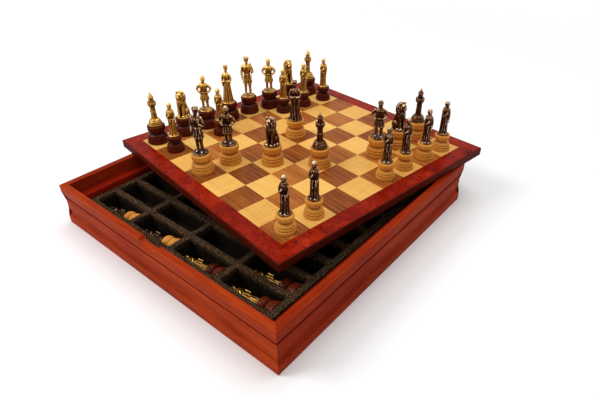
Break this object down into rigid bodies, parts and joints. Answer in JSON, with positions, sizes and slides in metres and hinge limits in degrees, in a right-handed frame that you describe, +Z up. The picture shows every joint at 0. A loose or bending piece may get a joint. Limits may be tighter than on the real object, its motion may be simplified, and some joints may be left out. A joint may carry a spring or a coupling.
{
  "type": "chess box",
  "caption": "Moulded wooden tray with a foam insert for chess pieces, a loose chessboard that serves as its lid, and the turned and cast pieces, some on the board and some in the foam.",
  "frame": {"origin": "middle of the tray's underside", "axes": "+X along the front wall, the one with the finger notch, from its left end to its right; +Y from the front wall to the back wall; +Z up"},
  "size_m": [0.3744, 0.4267, 0.1445],
  "materials": {
    "wall_wood": "stained red-brown, satin lacquer",
    "ledge_wood": "stained red, satin lacquer",
    "panel_wood": "plain plywood",
    "foam": "dark flocked foam with pale flecks",
    "maple": "maple veneer, satin lacquer",
    "walnut": "walnut veneer, satin lacquer",
    "burl": "red stained burl veneer, satin lacquer",
    "banding": "dark stained edge banding",
    "core_wood": "plain core board",
    "underside": "plain stained veneer",
    "boxwood": "turned boxwood, varnished",
    "stained_wood": "turned wood, dark stain, varnished",
    "gold_metal": "antiqued cast metal, gold coloured, on a dark stained turned wooden base",
    "silver_metal": "antiqued cast metal, silver coloured, on a pale turned boxwood base"
  },
  "bodies": {
    "box": {"front_wall": "wall_wood", "back_wall": "wall_wood", "left_wall": "wall_wood", "right_wall": "wall_wood", "bottom_panel": "panel_wood", "front_ledge": "ledge_wood", "back_ledge": "ledge_wood", "left_ledge": "ledge_wood", "right_ledge": "ledge_wood", "foam_base": "foam", "foam_rows": "foam", "foam_ends": "foam", "foam_dividers": "foam"},
    "board": {"board_core": "core_wood", "light_fields": "maple", "dark_fields": "walnut", "front_border": "burl", "back_border": "burl", "left_border": "burl", "right_border": "burl", "front_banding": "banding", "back_banding": "banding", "left_banding": "banding", "right_banding": "banding", "underside_veneer": "underside"},
    "gold_king_man": {"gold_king": "gold_metal"},
    "gold_queen_man": {"gold_queen": "gold_metal"},
    "gold_bishop_1_man": {"gold_bishop_1": "gold_metal"},
    "gold_bishop_2_man": {"gold_bishop_2": "gold_metal"},
    "gold_knight_1_man": {"gold_knight_1": "gold_metal"},
    "gold_knight_2_man": {"gold_knight_2": "gold_metal"},
    "gold_tower_1_man": {"gold_tower_1": "gold_metal"},
    "gold_tower_2_man": {"gold_tower_2": "gold_metal"},
    "gold_pawn_1_man": {"gold_pawn_1": "gold_metal"},
    "gold_pawn_2_man": {"gold_pawn_2": "gold_metal"},
    "gold_pawn_3_man": {"gold_pawn_3": "gold_metal"},
    "gold_pawn_4_man": {"gold_pawn_4": "gold_metal"},
    "gold_pawn_5_man": {"gold_pawn_5": "gold_metal"},
    "gold_pawn_6_man": {"gold_pawn_6": "gold_metal"},
    "gold_pawn_7_man": {"gold_pawn_7": "gold_metal"},
    "gold_pawn_8_man": {"gold_pawn_8": "gold_metal"},
    "silver_king_man": {"silver_king": "silver_metal"},
    "silver_queen_man": {"silver_queen": "silver_metal"},
    "silver_bishop_1_man": {"silver_bishop_1": "silver_metal"},
    "silver_bishop_2_man": {"silver_bishop_2": "silver_metal"},
    "silver_knight_1_man": {"silver_knight_1": "silver_metal"},
    "silver_knight_2_man": {"silver_knight_2": "silver_metal"},
    "silver_tower_1_man": {"silver_tower_1": "silver_metal"},
    "silver_tower_2_man": {"silver_tower_2": "silver_metal"},
    "silver_pawn_1_man": {"silver_pawn_1": "silver_metal"},
    "silver_pawn_2_man": {"silver_pawn_2": "silver_metal"},
    "silver_pawn_3_man": {"silver_pawn_3": "silver_metal"},
    "silver_pawn_4_man": {"silver_pawn_4": "silver_metal"},
    "silver_pawn_5_man": {"silver_pawn_5": "silver_metal"},
    "silver_pawn_6_man": {"silver_pawn_6": "silver_metal"},
    "silver_pawn_7_man": {"silver_pawn_7": "silver_metal"},
    "silver_pawn_8_man": {"silver_pawn_8": "silver_metal"}
  },
  "joints": [
    {"name": "board_lift", "type": "slide", "parent": "box", "child": "board", "axis": [0, 0, 1], "range_m": [0, 0.12]},
    {"name": "gold_king_lift", "type": "slide", "parent": "board", "child": "gold_king_man", "axis": [0, 0, 1], "range_m": [0, 0.06]},
    {"name": "gold_queen_lift", "type": "slide", "parent": "board", "child": "gold_queen_man", "axis": [0, 0, 1], "range_m": [0, 0.06]},
    {"name": "gold_bishop_1_lift", "type": "slide", "parent": "board", "child": "gold_bishop_1_man", "axis": [0, 0, 1], "range_m": [0, 0.06]},
    {"name": "gold_bishop_2_lift", "type": "slide", "parent": "board", "child": "gold_bishop_2_man", "axis": [0, 0, 1], "range_m": [0, 0.06]},
    {"name": "gold_knight_1_lift", "type": "slide", "parent": "board", "child": "gold_knight_1_man", "axis": [0, 0, 1], "range_m": [0, 0.06]},
    {"name": "gold_knight_2_lift", "type": "slide", "parent": "board", "child": "gold_knight_2_man", "axis": [0, 0, 1], "range_m": [0, 0.06]},
    {"name": "gold_tower_1_lift", "type": "slide", "parent": "board", "child": "gold_tower_1_man", "axis": [0, 0, 1], "range_m": [0, 0.06]},
    {"name": "gold_tower_2_lift", "type": "slide", "parent": "board", "child": "gold_tower_2_man", "axis": [0, 0, 1], "range_m": [0, 0.06]},
    {"name": "gold_pawn_1_lift", "type": "slide", "parent": "board", "child": "gold_pawn_1_man", "axis": [0, 0, 1], "range_m": [0, 0.06]},
    {"name": "gold_pawn_2_lift", "type": "slide", "parent": "board", "child": "gold_pawn_2_man", "axis": [0, 0, 1], "range_m": [0, 0.06]},
    {"name": "gold_pawn_3_lift", "type": "slide", "parent": "board", "child": "gold_pawn_3_man", "axis": [0, 0, 1], "range_m": [0, 0.06]},
    {"name": "gold_pawn_4_lift", "type": "slide", "parent": "board", "child": "gold_pawn_4_man", "axis": [0, 0, 1], "range_m": [0, 0.06]},
    {"name": "gold_pawn_5_lift", "type": "slide", "parent": "board", "child": "gold_pawn_5_man", "axis": [0, 0, 1], "range_m": [0, 0.06]},
    {"name": "gold_pawn_6_lift", "type": "slide", "parent": "box", "child": "gold_pawn_6_man", "axis": [0, 0, 1], "range_m": [0, 0.06]},
    {"name": "gold_pawn_7_lift", "type": "slide", "parent": "box", "child": "gold_pawn_7_man", "axis": [0, 0, 1], "range_m": [0, 0.06]},
    {"name": "gold_pawn_8_lift", "type": "slide", "parent": "box", "child": "gold_pawn_8_man", "axis": [0, 0, 1], "range_m": [0, 0.02]},
    {"name": "silver_king_lift", "type": "slide", "parent": "board", "child": "silver_king_man", "axis": [0, 0, 1], "range_m": [0, 0.06]},
    {"name": "silver_queen_lift", "type": "slide", "parent": "board", "child": "silver_queen_man", "axis": [0, 0, 1], "range_m": [0, 0.06]},
    {"name": "silver_bishop_1_lift", "type": "slide", "parent": "board", "child": "silver_bishop_1_man", "axis": [0, 0, 1], "range_m": [0, 0.06]},
    {"name": "silver_bishop_2_lift", "type": "slide", "parent": "board", "child": "silver_bishop_2_man", "axis": [0, 0, 1], "range_m": [0, 0.06]},
    {"name": "silver_knight_1_lift", "type": "slide", "parent": "board", "child": "silver_knight_1_man", "axis": [0, 0, 1], "range_m": [0, 0.06]},
    {"name": "silver_knight_2_lift", "type": "slide", "parent": "board", "child": "silver_knight_2_man", "axis": [0, 0, 1], "range_m": [0, 0.06]},
    {"name": "silver_tower_1_lift", "type": "slide", "parent": "board", "child": "silver_tower_1_man", "axis": [0, 0, 1], "range_m": [0, 0.06]},
    {"name": "silver_tower_2_lift", "type": "slide", "parent": "board", "child": "silver_tower_2_man", "axis": [0, 0, 1], "range_m": [0, 0.06]},
    {"name": "silver_pawn_1_lift", "type": "slide", "parent": "board", "child": "silver_pawn_1_man", "axis": [0, 0, 1], "range_m": [0, 0.06]},
    {"name": "silver_pawn_2_lift", "type": "slide", "parent": "board", "child": "silver_pawn_2_man", "axis": [0, 0, 1], "range_m": [0, 0.06]},
    {"name": "silver_pawn_3_lift", "type": "slide", "parent": "board", "child": "silver_pawn_3_man", "axis": [0, 0, 1], "range_m": [0, 0.06]},
    {"name": "silver_pawn_4_lift", "type": "slide", "parent": "board", "child": "silver_pawn_4_man", "axis": [0, 0, 1], "range_m": [0, 0.06]},
    {"name": "silver_pawn_5_lift", "type": "slide", "parent": "board", "child": "silver_pawn_5_man", "axis": [0, 0, 1], "range_m": [0, 0.06]},
    {"name": "silver_pawn_6_lift", "type": "slide", "parent": "board", "child": "silver_pawn_6_man", "axis": [0, 0, 1], "range_m": [0, 0.06]},
    {"name": "silver_pawn_7_lift", "type": "slide", "parent": "box", "child": "silver_pawn_7_man", "axis": [0, 0, 1], "range_m": [0, 0.06]},
    {"name": "silver_pawn_8_lift", "type": "slide", "parent": "box", "child": "silver_pawn_8_man", "axis": [0, 0, 1], "range_m": [0, 0.06]}
  ]
}
